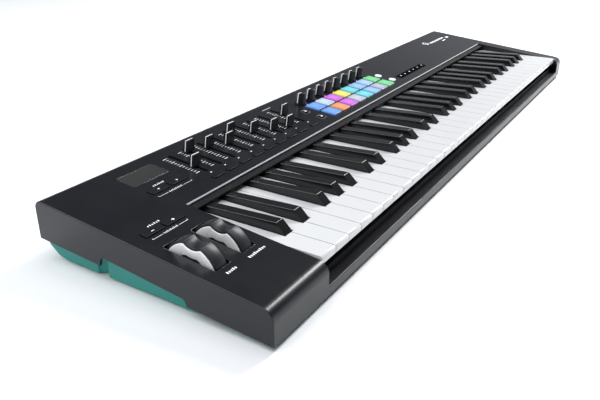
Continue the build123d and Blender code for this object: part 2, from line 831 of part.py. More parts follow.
# ---------------------------------------------------------------- pads and buttons
cap_under = board_depth - wall - 3.2  # travel room is left between a cap and the board
pad_name = {pad_rows[0]: "pads_front_row", pad_rows[1]: "pads_back_row"}
for y in pad_rows:
    with BuildPart() as pads:
        for x in pad_x:
            with BuildSketch(on_panel(x, y, -wall - cap_under)):
                RectangleRounded(pad_size, pad_size, 1.2)
            extrude(amount=wall + cap_under + pad_proud)
        crown = pads.faces().filter_by(lambda f: f.normal_at().Z > 0.99 and f.area > 300.0)
        fillet(crown.edges(), 0.7)
    save(pads.part, pad_name[y])


def press_caps(name, places, row, size, proud):
    """A row of rectangular button caps."""
    with BuildPart() as caps:
        for x in places:
            with BuildSketch(on_panel(x, row, -wall - cap_under)):
                RectangleRounded(size[0], size[1], 1.2)
            extrude(amount=wall + cap_under + proud)
        crowns = caps.faces().filter_by(lambda f: f.normal_at().Z > 0.99 and f.area > 60.0)
        fillet(crowns.edges(), 0.4)
    save(caps.part, name)


def round_caps(name, x, radius, proud):
    """One round button cap beside each row of pads."""
    with BuildPart() as caps:
        for y in pad_rows:
            with BuildSketch(on_panel(x, y, -wall - cap_under)):
                Circle(radius)
            extrude(amount=wall + cap_under + proud)
        crowns = caps.faces().filter_by(lambda f: f.normal_at().Z > 0.99)
        fillet(crowns.edges(), 0.4)
    save(caps.part, name)


press_caps("fader_buttons", fader_x, button_row, fader_button, 0.9)
press_caps("track_buttons", track_x, track_row, track_button, 0.9)
press_caps("octave_buttons", octave_x, octave_row, octave_button, 0.9)
press_caps("transport_buttons", transport_x, transport_row, transport_button, 0.7)
round_caps("launch_buttons", launch_x, launch_radius, 1.1)
round_caps("scene_buttons", scene_x, scene_radius, 0.9)

# ---------------------------------------------------------------- wheels
hole_radius = axle_radius + running_gap


def control_wheel(x, name):
    """Segment wheel with a finger scoop, turning on its axle."""
    edge = math.radians(wheel_half_angle)
    corner = (wheel_radius * 1.5 * math.sin(edge), wheel_radius * 1.5 * math.cos(edge))
    with BuildPart() as wheel:
        with BuildSketch(across_panel(x - wheel_width / 2, wheel_row, wheel_depth)):
            Circle(wheel_radius)
            Polygon(
                (0, 0),
                corner,
                (corner[0], -60.0),
                (-corner[0], -60.0),
                (-corner[0], corner[1]),
                align=None,
                mode=Mode.SUBTRACT,
            )
            Circle(hub_radius)
            with Locations((0, scoop_height)):
                Circle(scoop_radius, mode=Mode.SUBTRACT)
            Circle(hole_radius, mode=Mode.SUBTRACT)
        extrude(amount=wheel_width)
    save(wheel.part, name)


control_wheel(pitch_x, "pitch_wheel")
control_wheel(mod_x, "mod_wheel")

axle = across_panel(0.0, wheel_row, wheel_depth).origin
frame_left = -468.2
frame_right = -403.5
sheet = 1.5
bay_front = -67.4
bay_back = -5.8
with BuildPart() as wheel_bracket:
    with BuildSketch(Plane.XY.offset(24.0)):
        with Locations(((frame_left + frame_right) / 2, (bay_front + bay_back) / 2)):
            Rectangle(frame_right - frame_left, bay_back - bay_front + 2 * sheet)
        for centre in (pitch_x, mod_x):
            with Locations((centre, (bay_front + bay_back) / 2)):
                Rectangle(26.0, bay_back - bay_front, mode=Mode.SUBTRACT)
        with Locations(((pitch_x + mod_x) / 2, (bay_front + bay_back) / 2)):
            Rectangle(5.0, bay_back - bay_front, mode=Mode.SUBTRACT)
    extrude(amount=13.6)
    # two legs stand on the floor of the tub
    for centre in (pitch_x + 13.75, mod_x - 13.75):
        with BuildSketch(Plane.XY.offset(belly_bottom + wall)):
            with Locations((centre, -26.0)):
                Rectangle(sheet, 30.0)
        extrude(amount=24.0 - belly_bottom - wall)
    with BuildSketch(Plane.YZ.offset(frame_left - 1.0)):
        with Locations((axle.Y, axle.Z)):
            Circle(hole_radius)
    extrude(amount=frame_right - frame_left + 2.0, mode=Mode.SUBTRACT)
save(wheel_bracket.part, "wheel_bracket")

pot_thickness = 2.2
with BuildPart() as wheel_pots:
    for centre, side in ((pitch_x, 1.0), (mod_x, -1.0)):
        face = centre + side * (13.0 + sheet)
        far = centre - side * (13.0 + sheet + 0.3)
        with BuildSketch(Plane.YZ.offset(min(face, face + side * pot_thickness))):
            with Locations((axle.Y, axle.Z)):
                Circle(7.0)
        extrude(amount=pot_thickness)
        with BuildSketch(Plane.YZ.offset(min(face, far))):
            with Locations((axle.Y, axle.Z)):
                Circle(axle_radius)
        extrude(amount=abs(face - far))
save(wheel_pots.part, "wheel_pots")
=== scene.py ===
import json
import math

import bpy
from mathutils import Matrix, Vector


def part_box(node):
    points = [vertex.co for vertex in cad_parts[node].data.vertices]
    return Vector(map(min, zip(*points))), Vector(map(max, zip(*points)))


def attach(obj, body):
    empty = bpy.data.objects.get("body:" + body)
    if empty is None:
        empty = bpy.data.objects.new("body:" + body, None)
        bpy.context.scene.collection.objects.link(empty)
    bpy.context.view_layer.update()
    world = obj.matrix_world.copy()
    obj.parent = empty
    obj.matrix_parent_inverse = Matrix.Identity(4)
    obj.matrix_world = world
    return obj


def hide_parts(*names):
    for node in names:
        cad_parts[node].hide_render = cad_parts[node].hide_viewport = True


# The looks of a keyboard synthesizer, on the bodies of its CAD frame. Points and boxes are metres;
# outlines, widths and heights above the panel are millimetres.

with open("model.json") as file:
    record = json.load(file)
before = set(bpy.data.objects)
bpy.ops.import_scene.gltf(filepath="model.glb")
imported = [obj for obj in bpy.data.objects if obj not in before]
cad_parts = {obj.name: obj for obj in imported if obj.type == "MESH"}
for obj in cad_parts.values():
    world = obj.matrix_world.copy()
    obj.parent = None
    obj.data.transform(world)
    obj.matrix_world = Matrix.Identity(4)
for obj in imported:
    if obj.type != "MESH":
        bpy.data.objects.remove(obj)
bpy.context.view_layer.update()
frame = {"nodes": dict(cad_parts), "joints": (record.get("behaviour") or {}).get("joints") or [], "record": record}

# ---------------------------------------------------------------- the panel's own frame
joints = {j["name"]: j for j in frame["joints"]}
ACROSS = Vector((1, 0, 0))
UPHILL = Vector(joints["slide_fader_1"]["axis"]).normalized()
NORMAL = Vector(joints["turn_knob_1"]["axis"]).normalized()
ON_PANEL = Vector(joints["turn_knob_1"]["pos_m"])
MM = 0.001
caps = ["fader_cap_%d" % n for n in range(1, 10)]
knob_places = [Vector(joints["turn_knob_%d" % n]["pos_m"]) for n in range(1, 9)]


def lift_of(point):
    """Height of a point above the control panel, along its normal."""
    return (point - ON_PANEL).dot(NORMAL)


def spot(node):
    """The point of the panel under the middle of a CAD node."""
    low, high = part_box(node)
    middle = (low + high) / 2
    return middle - NORMAL * lift_of(middle)


def crown(node):
    """How far a CAD node stands out of the panel."""
    return max(lift_of(v.co) for v in frame["nodes"][node].data.vertices)


def panel(x, y):
    """The point of the panel at that x and y."""
    return Vector((x, y, ON_PANEL.z + (y - ON_PANEL.y) * UPHILL.z / UPHILL.y))


# ---------------------------------------------------------------- materials
def nodes_of(name):
    """A new material, with its node tree and its shader."""
    material = bpy.data.materials.new(name)
    material.use_nodes = True
    tree = material.node_tree
    return material, tree, tree.nodes["Principled BSDF"]


def noise(tree, size, detail=3.0):
    """Noise with features of about this size, in millimetres."""
    place = tree.nodes.new("ShaderNodeTexCoord")
    texture = tree.nodes.new("ShaderNodeTexNoise")
    texture.inputs["Scale"].default_value = 1000.0 / size
    texture.inputs["Detail"].default_value = detail
    tree.links.new(place.outputs["Object"], texture.inputs["Vector"])
    return texture.outputs["Fac"]


def spread(tree, source, low, high):
    """Turns noise into a value between low and high."""
    ramp = tree.nodes.new("ShaderNodeMapRange")
    ramp.inputs["From Min"].default_value = 0.3
    ramp.inputs["From Max"].default_value = 0.7
    ramp.inputs["To Min"].default_value = low
    ramp.inputs["To Max"].default_value = high
    tree.links.new(source, ramp.inputs["Value"])
    return ramp.outputs["Result"]


def finish(name, colour, rough, vary=0.08, patch=30.0, grain=0.4, depth=0.01, metallic=0.0, coat=0.0,
           shade=0.06, shine=0.5, glow=0.0):
    """A moulded or plated surface: slow patches of colour and gloss, and a fine grain in its bump.

    vary and shade are shares of the gloss and the colour; patch, grain and depth are millimetres.
    """
    material, tree, shader = nodes_of(name)
    shader.inputs["Metallic"].default_value = metallic
    shader.inputs["Specular IOR Level"].default_value = shine
    shader.inputs["Emission Color"].default_value = (*colour, 1)
    shader.inputs["Emission Strength"].default_value = glow
    shader.inputs["Coat Weight"].default_value = coat
    shader.inputs["Coat Roughness"].default_value = 0.06
    slow = noise(tree, patch)
    blend = tree.nodes.new("ShaderNodeMix")
    blend.data_type = "RGBA"
    blend.inputs["A"].default_value = (*[c * (1 - shade) for c in colour], 1)
    blend.inputs["B"].default_value = (*[min(1.0, c * (1 + shade)) for c in colour], 1)
    tree.links.new(slow, blend.inputs["Factor"])
    tree.links.new(blend.outputs["Result"], shader.inputs["Base Color"])
    tree.links.new(spread(tree, slow, rough * (1 - vary), rough * (1 + vary)), shader.inputs["Roughness"])
    bump = tree.nodes.new("ShaderNodeBump")
    bump.inputs["Strength"].default_value = 0.5
    bump.inputs["Distance"].default_value = depth * MM
    tree.links.new(noise(tree, grain, 2.0), bump.inputs["Height"])
    tree.links.new(bump.outputs["Normal"], shader.inputs["Normal"])
    return material


def glowing(name, colour, strength):
    """Lit translucent silicone: brightest over its lamp, fading towards its edge."""
    material, tree, shader = nodes_of(name)
    shader.inputs["Roughness"].default_value = 0.42
    shader.inputs["Coat Weight"].default_value = 0.15
    fade = tree.nodes.new("ShaderNodeAttribute")
    fade.attribute_name = "glow"
    cloud = spread(tree, noise(tree, 6.0), 0.9, 1.08)
    level = tree.nodes.new("ShaderNodeMath")
    level.operation = "MULTIPLY"
    tree.links.new(fade.outputs["Fac"], level.inputs[0])
    tree.links.new(cloud, level.inputs[1])
    pale = tree.nodes.new("ShaderNodeMix")
    pale.data_type = "RGBA"
    pale.inputs["A"].default_value = (*[c * 0.8 for c in colour], 1)
    pale.inputs["B"].default_value = (*[c * 0.72 + 0.28 for c in colour], 1)
    tree.links.new(fade.outputs["Fac"], pale.inputs["Factor"])
    tree.links.new(pale.outputs["Result"], shader.inputs["Emission Color"])
    power = tree.nodes.new("ShaderNodeMath")
    power.operation = "MULTIPLY"
    power.inputs[1].default_value = strength
    tree.links.new(level.outputs["Value"], power.inputs[0])
    tree.links.new(power.outputs["Value"], shader.inputs["Emission Strength"])
    body = tree.nodes.new("ShaderNodeMix")
    body.data_type = "RGBA"
    body.inputs["A"].default_value = (*[c * 0.30 for c in colour], 1)
    body.inputs["B"].default_value = (*[c * 0.36 for c in colour], 1)
    tree.links.new(cloud, body.inputs["Factor"])
    tree.links.new(body.outputs["Result"], shader.inputs["Base Color"])
    return material


FINISHES = {
    "black_case": finish(
        "satin_black", (0.0072, 0.0076, 0.0105), 0.30, grain=0.5, depth=0.006, shade=0.12, shine=0.44
    ),
    "teal_case": finish("teal_plastic", (0.012, 0.235, 0.205), 0.42, grain=0.6, depth=0.012),
    # the pale strip along the panel's front edge stands in for the highlight on that edge's bevel: a painted
    # highlight
    "silver_trim": finish("painted_edge_highlight", (0.86, 0.87, 0.92), 0.30, metallic=0.55, depth=0.003),
    "dark_strip": finish("dark_strip", (0.004, 0.004, 0.005), 0.62, grain=0.6, shine=0.2),
    "chassis": finish("inner_plastic", (0.005, 0.005, 0.006), 0.7, grain=0.8, depth=0.02, shine=0.2),
    "felt": finish("felt_strip", (0.03, 0.007, 0.008), 0.95, grain=0.35, depth=0.12, shade=0.3),
    "circuit_board": finish("board_mask", (0.008, 0.05, 0.022), 0.45, grain=0.9, shade=0.2),
    "grey_rubber": finish("grey_silicone", (0.10, 0.10, 0.11), 0.6),
    "steel": finish("plated_steel", (0.52, 0.52, 0.54), 0.32, metallic=1.0, vary=0.2, patch=8.0),
    "display": finish("display_glass", (0.02, 0.022, 0.02), 0.25),
    "smoked_window": finish(
        "smoked_window", (0.035, 0.036, 0.034), 0.13, depth=0.001, coat=0.3, shade=0.15
    ),
    "foot_rubber": finish("foot_rubber", (0.02, 0.02, 0.021), 0.8, grain=0.7, depth=0.05),
    "screw_steel": finish("black_steel", (0.05, 0.05, 0.052), 0.38, metallic=0.9, vary=0.2, patch=3.0),
    "white_key": finish(
        "white_key", (0.67, 0.67, 0.68), 0.16, depth=0.001, coat=0.25, shade=0.012, patch=60.0
    ),
    "black_key": finish("black_key", (0.006, 0.006, 0.007), 0.20, depth=0.003, coat=0.1, shade=0.1),
    "wheel_rubber": finish(
        "wheel_rubber", (0.012, 0.013, 0.016), 0.42, grain=0.5, depth=0.02, shade=0.15, shine=0.4
    ),
    "control_black": finish(
        "control_black", (0.006, 0.006, 0.007), 0.34, grain=0.35, depth=0.01, shade=0.15
    ),
    "lit_pad": finish("pad_silicone", (0.3, 0.5, 0.8), 0.5),
    "lit_button": finish("pale_silicone", (0.80, 0.82, 0.86), 0.45, depth=0.006, glow=0.25),
    "button_black": finish(
        "button_black", (0.003, 0.003, 0.004), 0.45, grain=0.5, depth=0.014, shade=0.12, shine=0.3
    ),
}
white_print = finish("white_print", (0.90, 0.90, 0.93), 0.5, patch=2.0, depth=0.004, shade=0.04)
grey_print = finish("grey_print", (0.50, 0.50, 0.53), 0.5, patch=2.0, depth=0.004, shade=0.1)
marker = finish("marker_line", (0.90, 0.90, 0.92), 0.42, patch=3.0, depth=0.004, shade=0.05)
silver = finish(
    "wheel_silver", (0.93, 0.93, 0.93), 0.30, metallic=0.15, vary=0.1, patch=6.0, depth=0.0005, shade=0.03
)
# a matte near-black with almost no shine: the own colour of the dark transport strip and its keys, and painted
# shade in the rings round the fader slots, the small buttons and the knobs
black_and_painted_shade = finish("black_and_painted_shade", (0.0015, 0.0015, 0.002), 0.9, patch=10.0, depth=0.003, shine=0.03)
edge_black = finish("edge_black", (0.016, 0.016, 0.018), 0.24, patch=10.0, depth=0.003)

# nodes that look darker than their material slot
DARKER = {
    "scene_buttons": FINISHES["button_black"],
    "transport_buttons": black_and_painted_shade,
    "fader_bodies": FINISHES["chassis"],
}
for part in frame["record"]["subparts"]:
    node = frame["nodes"][part["node"]]
    look = DARKER.get(part["node"], FINISHES[part["material_slot"]])
    for holder in node.material_slots:
        holder.material = look


# ---------------------------------------------------------------- mesh building
class Shape:
    """Collects the points and faces of one piece. Each face has a material, each point a glow."""

    def __init__(self):
        self.points, self.faces, self.paint, self.glow = [], [], [], []

    def ring(self, points, glow=1.0):
        """Adds points and returns their numbers."""
        first = len(self.points)
        self.points.extend(points)
        self.glow.extend([glow] * len(points))
        return list(range(first, len(self.points)))

    def face(self, corners, paint=0):
        self.faces.append(corners)
        self.paint.append(paint)

    def band(self, lower, upper, paint=0, closed=True):
        """Quads between two rings that run the same way, facing outwards where upper is above lower."""
        count = len(lower)
        for k in range(count if closed else count - 1):
            n = (k + 1) % count
            self.face([lower[k], lower[n], upper[n], upper[k]], paint)

    def done(self, name, body, materials, slot, replaces=(), smooth=35.0):
        """Makes the piece, shaded smooth but for edges sharper than that many degrees."""
        mesh = bpy.data.meshes.new(name)
        mesh.from_pydata([tuple(p) for p in self.points], [], self.faces)
        mesh.polygons.foreach_set("material_index", self.paint)
        mesh.polygons.foreach_set("use_smooth", [True] * len(self.faces))
        mesh.attributes.new("glow", "FLOAT", "POINT").data.foreach_set("value", self.glow)
        mesh.set_sharp_from_angle(angle=math.radians(smooth))
        mesh.update()
        piece = bpy.data.objects.new(name, mesh)
        bpy.context.scene.collection.objects.link(piece)
        for material in materials:
            mesh.materials.append(material)
        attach(piece, body)
        if replaces:
            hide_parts(*replaces)


def rounded(width, depth, radius, steps=4, at=(0.0, 0.0)):
    """Outline of a rounded rectangle, anticlockwise."""
    points = []
    corners = ((1, 1), (-1, 1), (-1, -1), (1, -1))
    for quarter, (sx, sy) in enumerate(corners):
        cx, cy = at[0] + sx * (width / 2 - radius), at[1] + sy * (depth / 2 - radius)
        for k in range(steps + 1):
            a = math.pi / 2 * (quarter + k / steps)
            points.append((cx + radius * math.cos(a), cy + radius * math.sin(a)))
    return points


def disc(radius, steps=24, at=(0.0, 0.0), stretch=1.0):
    """Outline of a disc, or of an oval that is that much wider, anticlockwise."""
    turn = [2 * math.pi * k / steps for k in range(steps)]
    return [(at[0] + stretch * radius * math.cos(a), at[1] + radius * math.sin(a)) for a in turn]


def inset(outline, by):
    """The outline moved inwards by that much."""
    moved = []
    count = len(outline)
    for k in range(count):
        before, here, after = (Vector(outline[(k + s) % count]) for s in (-1, 0, 1))
        one, two = (here - before).normalized(), (after - here).normalized()
        left = Vector((-one.y - two.y, one.x + two.x))
        reach = max(0.35, left.length / 2)
        left.normalize()
        moved.append(tuple(here + left * (by / reach)))
    return moved


def area(outline):
    """Twice the outline's signed area, which is above 0 for an anticlockwise one."""
    return sum(a[0] * b[1] - b[0] * a[1] for a, b in zip(outline, outline[1:] + outline[:1]))


def anticlockwise(outline):
    return outline if area(outline) > 0 else outline[::-1]


def between(one, two, share):
    """The outline that lies that share of the way from one outline to another."""
    return [(a[0] + (b[0] - a[0]) * share, a[1] + (b[1] - a[1]) * share) for a, b in zip(one, two)]


def place(at, outline, lift, axes):
    """2-D points laid on the plane through at, at that lift."""
    u, v, w = axes
    return [at + u * (x * MM) + v * (y * MM) + w * (lift * MM) for x, y in outline]


PANEL_AXES = (ACROSS, UPHILL, NORMAL)
SUNK = -0.02
PRINTED = 0.06


def slab(shape, at, outline, low, high, soften=0.0, paint=0, axes=PANEL_AXES, steps=3):
    """A flat solid on the panel with its upper edge rounded. Sizes are millimetres."""
    bottom = shape.ring(place(at, outline, low, axes))
    shape.face(bottom[::-1], paint)
    last = bottom
    for k in range(steps + 1 if soften else 1):
        a = math.pi / 2 * k / steps
        line = inset(outline, soften * (1 - math.cos(a))) if soften else outline
        ring = shape.ring(place(at, line, high - soften * (1 - math.sin(a)), axes))
        shape.band(last, ring, paint)
        last = ring
    shape.face(last, paint)


def lip(shape, at, inner, outer, height, paint=0, axes=PANEL_AXES, sunk=0.05, steps=4):
    """A low half-round rim between two outlines with as many points."""
    rings = []
    for k in range(steps + 1):
        s = k / steps
        lift = height * math.sin(math.pi * s) - sunk * (s in (0, 1))
        rings.append(shape.ring(place(at, between(outer, inner, s), lift, axes)))
    for one, two in zip(rings, rings[1:]):
        shape.band(one, two, paint)
    shape.band(rings[-1], rings[0], paint)


def dash(shape, start, end, width=0.5, paint=0, top=PRINTED):
    """A thin printed line on the panel between two points given as (x, y) in millimetres."""
    a, b = panel(start[0] * MM, start[1] * MM), panel(end[0] * MM, end[1] * MM)
    along = (b - a).normalized()
    beside = NORMAL.cross(along)
    length = (b - a).length / MM
    outline = rounded(length, width, min(length, width) * 0.3, 2)
    slab(shape, (a + b) / 2, outline, SUNK, top, 0, paint, (along, beside, NORMAL))


# ---------------------------------------------------------------- wheels
# A profile lists a change of the outline and a distance from the wheel's left side, for each ring.
SCOOP_LIFT = 36.8
HUB = 8.0
HUB_GAP = math.radians(10)
HUB_STEPS = 16
RUBBER = (29.4, 11.9, 1.8, math.radians(86.0))
SEAT = 0.8
CHEEK_REACH = math.radians(72.0)
CHEEK_OUTER = (27.0, 14.2, 1.4, CHEEK_REACH)
CHEEK_INNER = (17.0, 21.5, 3.0, CHEEK_REACH)
CHEEK_FOOT = SEAT + 0.05
CHEEK_PROFILE = (
    (0.0, CHEEK_FOOT), (0.0, 0.45), (0.04, 0.15), (0.1, 0.0),
    (0.5, 0.12), (0.9, 0.3), (1.0, 0.5), (1.0, CHEEK_FOOT),
)
WHEEL_ROW = -38.1
WHEEL_SLOT = (19.0, 54.5)
SLOT_RIM = 1.2


def contour(rim, scoop, soft, spread, steps=(18, 5, 14)):
    """Outline of a wheel's top: a rim that far round each way, a round scoop in it, and rounded lips."""
    reach, gap = rim - soft, scoop + soft
    tilt = math.acos((reach**2 + SCOOP_LIFT**2 - gap**2) / (2 * reach * SCOOP_LIFT))
    centre = Vector((reach * math.sin(tilt), reach * math.cos(tilt)))
    down = (Vector((0.0, SCOOP_LIFT)) - centre).normalized()
    top = math.atan2(centre.x, centre.y)
    side = math.atan2(down.x, down.y)
    half = []
    for k in range(steps[0]):
        a = spread + (top - spread) * k / steps[0]
        half.append(Vector((rim * math.sin(a), rim * math.cos(a))))
    for k in range(steps[1] + 1):
        a = top + (side - top) * k / steps[1]
        half.append(centre + Vector((math.sin(a), math.cos(a))) * soft)
    foot = centre + down * soft
    start = math.atan2(foot.x, SCOOP_LIFT - foot.y)
    for k in range(1, steps[2] + 1):
        a = start * (1 - k / steps[2])
        half.append(Vector((scoop * math.sin(a), SCOOP_LIFT - scoop * math.cos(a))))
    mirrored = [Vector((-p.x, p.y)) for p in half[-2::-1]]
    return [tuple(p) for p in half + mirrored]


def wheel(node, joint):
    """A finger wheel: a dark rubber body with a bright cheek let into its left side."""
    low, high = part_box(node)
    axle = Vector(joints[joint]["pos_m"])
    axle.x = low.x
    width = (high.x - low.x) / MM
    axes = (UPHILL, NORMAL, ACROSS)
    hub = []
    for k in range(HUB_STEPS + 1):
        a = -math.pi / 2 - HUB_GAP - (math.pi - 2 * HUB_GAP) * k / HUB_STEPS
        hub.append((HUB * math.sin(a), HUB * math.cos(a)))
    outline = anticlockwise(contour(*RUBBER) + hub)
    body = Shape()
    left = ((SEAT, 1.3), (SEAT + 0.4, 0.5), (SEAT + 1.3, 0.0))
    right = ((width - 1.3, 0.0), (width - 0.4, 0.5), (width, 1.3))
    sections = []
    for lift, by in left + right:
        line = [nearer(p, by) for p in outline]
        sections.append(body.ring(place(axle, line, lift, axes)))
    body.face(sections[0][::-1])
    for one, two in zip(sections, sections[1:]):
        body.band(one, two)
    body.face(sections[-1])
    body.done("rim_" + node, node, [FINISHES["wheel_rubber"]], "wheel_rubber", (node,), 30.0)

    cheek = Shape()
    outer, inner = contour(*CHEEK_OUTER), contour(*CHEEK_INNER)
    rings = []
    for share, lift in CHEEK_PROFILE:
        rings.append(cheek.ring(place(axle, between(outer, inner, share), lift, axes)))
    for one, two in zip(rings, rings[1:]):
        cheek.band(one, two, closed=False)
    cheek.band(rings[-1], rings[0], closed=False)
    cheek.face([r[0] for r in rings][::-1])
    cheek.face([r[-1] for r in rings])
    cheek.done("cheek_" + node, node, [silver], "silver_trim", (), 40.0)


def nearer(point, by):
    """The point moved that much nearer to the wheel's axle."""
    length = math.hypot(*point)
    return (point[0] * (length - by) / length, point[1] * (length - by) / length)


wheel("pitch_wheel", "pitch_bend")
wheel("mod_wheel", "mod_turn")

rims = Shape()
for node in ("pitch_wheel", "mod_wheel"):
    at = panel(spot(node).x, WHEEL_ROW * MM)
    wide, deep = WHEEL_SLOT
    lip(rims, at, rounded(wide, deep, 2.0), rounded(wide + SLOT_RIM, deep + SLOT_RIM, 2.6), 0.22)

# ---------------------------------------------------------------- pads
PAD_COLOURS = {
    "blue": (0.055, 0.30, 0.90),
    "frost": (0.50, 0.66, 0.92),
    "magenta": (0.62, 0.045, 0.78),
    "yellow": (0.88, 0.80, 0.06),
    "cyan": (0.05, 0.66, 0.78),
    "sky": (0.20, 0.50, 0.90),
    "ice": (0.34, 0.55, 0.92),
    "green": (0.07, 0.66, 0.20),
    "orange": (0.90, 0.26, 0.02),
    "pearl": (0.50, 0.52, 0.66),
    "lilac": (0.40, 0.42, 0.62),
}
PAD_GLOW = 0.74
lit = {name: glowing("pad_" + name, colour, PAD_GLOW) for name, colour in PAD_COLOURS.items()}
ROWS = {
    "pads_back_row": ("blue", "frost", "magenta", "yellow", "cyan", "sky", "ice", "green"),
    "pads_front_row": ("blue", "orange", "magenta", "pearl", "cyan", "sky", "lilac", "green"),
}
PAD_SIZE = 20.8
PAD_FOOT = -4.0
# how far the rounded edge lies inside the outline and below the top, and its glow
PAD_EDGE = ((0, 0.9, 0.4), (0.08, 0.6, 0.48), (0.3, 0.33, 0.55), (0.75, 0.14, 0.62), (1.6, 0.05, 0.7))
# size of each ring on the top, and its glow
PAD_TOP = ((0.72, 0.82), (0.45, 0.93), (0.2, 1.0))
for node, colours in ROWS.items():
    low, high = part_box(node)
    level = spot(node)
    proud = crown(node) / MM
    pitch = ((high.x - low.x) / MM - PAD_SIZE) / 7
    shape = Shape()
    outline = rounded(PAD_SIZE, PAD_SIZE, 2.2, 5)
    for column in range(8):
        at = panel(low.x + (PAD_SIZE / 2 + pitch * column) * MM, level.y)
        last = shape.ring(place(at, outline, PAD_FOOT, PANEL_AXES), 0.25)
        shape.face(last[::-1], column)
        for by, below, fade in PAD_EDGE:
            ring = shape.ring(place(at, inset(outline, by), proud - below, PANEL_AXES), fade)
            shape.band(last, ring, column)
            last = ring
        for share, fade in PAD_TOP:
            line = [(a * share, b * share) for a, b in outline]
            ring = shape.ring(place(at, line, proud - 0.02, PANEL_AXES), fade)
            shape.band(last, ring, column)
            last = ring
        middle = shape.ring(place(at, [(0, 0)], proud, PANEL_AXES), 1.0)[0]
        for k, corner in enumerate(last):
            shape.face([corner, last[(k + 1) % len(last)], middle], column)
    shape.done(node + "_lit", node, [lit[c] for c in colours], "lit_pad", (node,), 50.0)

# ---------------------------------------------------------------- small buttons
BUTTON_SIZES = {"fader_buttons": (16.0, 4.6), "octave_buttons": (22.0, 7.5), "track_buttons": (21.5, 8.0)}
BUTTON_GAP = 0.9
BUTTON_RING = 1.1


def places_of(node):
    """Middle of each of a node's buttons."""
    low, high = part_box(node)
    y = spot(node).y
    if node == "fader_buttons":
        return [panel(sum(b.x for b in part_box(cap)) / 2, y) for cap in caps]
    half = BUTTON_SIZES[node][0] / 2 * MM
    return [panel(low.x + half, y), panel(high.x - half, y)]


# ---------------------------------------------------------------- faders
FADER_SLOT = (2.6, 51.0)
RING = 2.0
TICKS = 13
TICK_PITCH = 3.65
TICK_ASIDE = 9.0
# the white line on a cap: how far back of its middle, half its width, and how low it comes down the side
LINE_BACK = 0.35
LINE_HALF = 0.55
LINE_FOOT = 1.7
# dark rings laid on the panel round each fader slot, each small button and each knob: painted shade that makes the
# slots and gaps look wider and darker, and a painted shadow round each knob's foot
shade_rings = Shape()
ticks = Shape()
slot_row = spot("fader_bodies").y
slot_front = slot_row / MM - FADER_SLOT[1] / 2


def crossing(left, right):
    """Outline of the white line's stretch between two places across a cap."""
    back, front = LINE_BACK + LINE_HALF, LINE_BACK - LINE_HALF
    return [(left, back), (left, front), (right, front), (right, back)]


for node in caps:
    low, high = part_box(node)
    x = (low.x + high.x) / 2
    wide, deep = FADER_SLOT
    # a ring of painted shade round the slot, which makes the slot look wider and darker
    rim = rounded(wide + RING, deep + RING, 2.2, 5)
    lip(shade_rings, panel(x, slot_row), rounded(wide, deep, 1.25, 5), rim, 0.05)
    for step in range(TICKS):
        reach, thick = (5.6, 0.75) if step % 3 == 0 else (3.8, 0.6)
        y = slot_row / MM + 1.0 + (step - TICKS // 2) * TICK_PITCH
        tick_x = x / MM - TICK_ASIDE
        dash(ticks, (tick_x - reach / 2, y), (tick_x + reach / 2, y), thick)
    # white line over the cap, down its left side
    line = Shape()
    top = crown(node) / MM
    at = panel(x, spot(node).y)
    slab(line, at, rounded(11.0, 2 * LINE_HALF, 0.3, 2, (0.1, LINE_BACK)), top - 0.3, top + 0.02)
    rings = []
    for lift, half in ((LINE_FOOT, 6.0), (top - 0.4, 5.53)):
        rings.append(line.ring(place(at, crossing(-half - 0.02, -half + 0.25), lift, PANEL_AXES)))
    rings.append(line.ring(place(at, crossing(-5.45, -5.0), top + 0.015, PANEL_AXES)))
    line.face(rings[0][::-1])
    for one, two in zip(rings, rings[1:]):
        line.band(one, two)
    line.face(rings[-1])
    line.done("line_" + node, node, [marker], "control_black", (), 20.0)
# a ring of painted shade round the gap of each small button
for node, size in BUTTON_SIZES.items():
    for at in places_of(node):
        wide, deep = size[0] + BUTTON_GAP, size[1] + BUTTON_GAP
        rim = rounded(wide + BUTTON_RING, deep + BUTTON_RING, 1.9)
        lip(shade_rings, at, rounded(wide, deep, 1.4), rim, 0.05)
# a painted shadow in a ring round the foot of each knob
for at in knob_places:
    lip(shade_rings, at, disc(6.4, 32), disc(7.6, 32), 0.04)
shade_rings.done("painted_shade_rings", "case", [black_and_painted_shade], "black_case")
rims.done("wheel_slot_lips", "case", [edge_black], "black_case")

# ---------------------------------------------------------------- rotary knobs
POINTER_HALF = 0.75
POINTER_FACING = math.radians(168.0)
outward = ACROSS * math.cos(POINTER_FACING) + UPHILL * math.sin(POINTER_FACING)
pointer_axes = (outward, NORMAL.cross(outward), NORMAL)
for number, at in enumerate(knob_places, start=1):
    node = "knob_%d" % number
    top = crown(node) / MM
    mark = Shape()
    profile = (
        (2.2, 6.0, 6.62),
        (top - 1.1, 5.3, 5.86),
        (top - 0.45, 4.9, 5.72),
        (top - 0.1, 4.5, 5.36),
        (top + 0.02, 4.2, 4.95),
    )
    rings = []
    for lift, inner, outer in profile:
        right = [(outer, -POINTER_HALF), (outer, POINTER_HALF)]
        left = [(inner, POINTER_HALF), (inner, -POINTER_HALF)]
        rings.append(mark.ring(place(at, right + left, lift, pointer_axes)))
    mark.face(rings[0][::-1])
    for one, two in zip(rings, rings[1:]):
        mark.band(one, two)
    mark.face(rings[-1])
    stroke = rounded(4.6, 2 * POINTER_HALF, 0.4, 2, (2.9, 0))
    slab(mark, at, stroke, top - 0.3, top + 0.02, axes=pointer_axes)
    mark.done("pointer_" + node, node, [marker], "control_black", (), 30.0)

# ---------------------------------------------------------------- prints on the panel
# Plain strokes stand where the real panel has lettering. Places and widths are millimetres.
FINE = 0.45
WHEEL_STROKES = {"pitch_wheel": 5, "mod_wheel": 9}
WHEEL_STROKE_FOOT = -74.3
EMBLEM = (361.0, 93.0)
NAME_STROKES = 12
NAME_START = 372.5
NAME_PITCH = 5.6
NAME_ROW = 88.2
prints = Shape()
